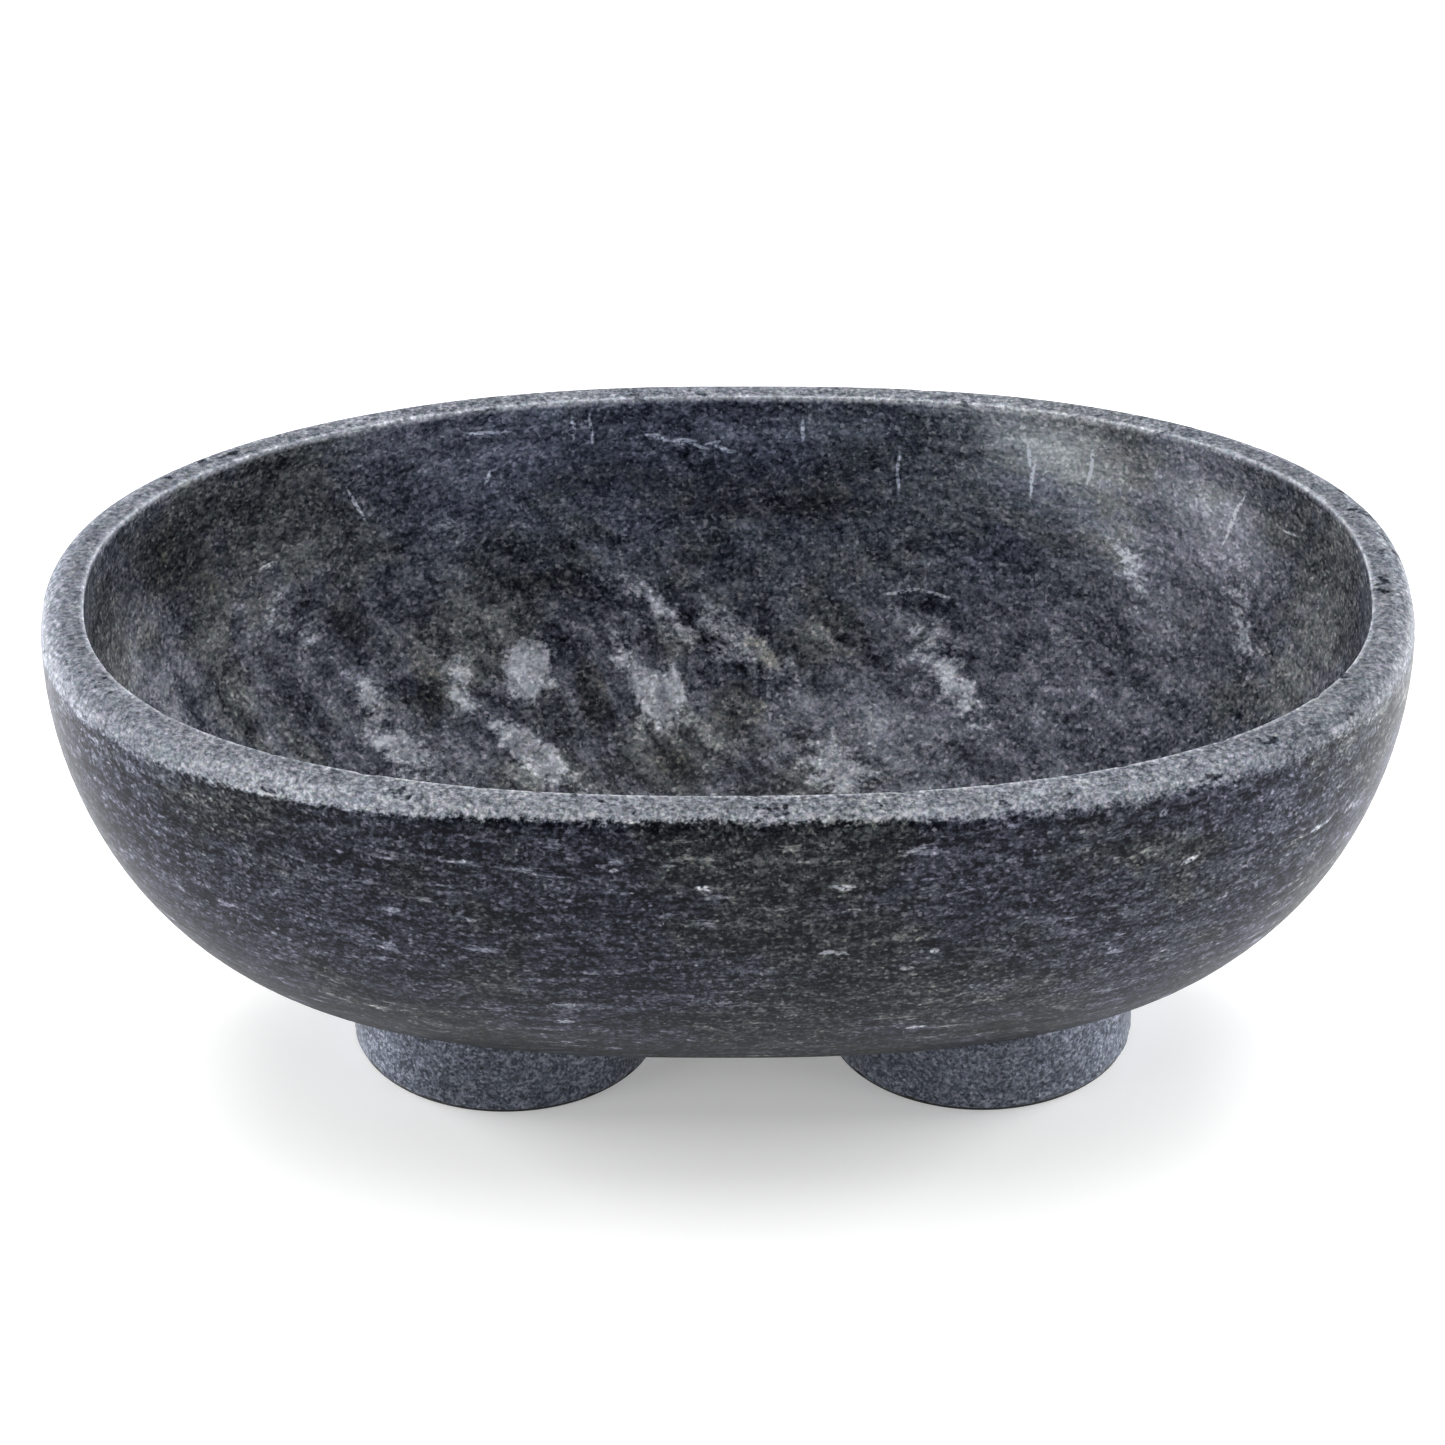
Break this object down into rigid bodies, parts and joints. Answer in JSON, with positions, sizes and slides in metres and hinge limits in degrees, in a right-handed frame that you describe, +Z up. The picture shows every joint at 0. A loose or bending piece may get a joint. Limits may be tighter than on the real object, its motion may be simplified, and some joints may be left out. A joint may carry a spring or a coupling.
{
  "type": "footed stone bowl",
  "caption": "Oval dark marble serving bowl with a thick soft-edged rim, standing on round stone feet.",
  "frame": {"origin": "on the ground, under the middle of the bowl's outline", "axes": "+X along the bowl's length, +Y across it to the back, +Z up"},
  "size_m": [0.305, 0.185, 0.118],
  "materials": {
    "bowl_stone": "satin",
    "foot_stone": "satin",
    "adhesive": "matte",
    "pin_steel": "satin",
    "foot_pad": "matte"
  },
  "bodies": {
    "root": {"bowl": "bowl_stone", "left_foot": "foot_stone", "right_foot": "foot_stone", "left_adhesive_bed": "adhesive", "right_adhesive_bed": "adhesive", "left_pin": "pin_steel", "right_pin": "pin_steel", "left_pad": "foot_pad", "right_pad": "foot_pad"}
  },
  "joints": []
}
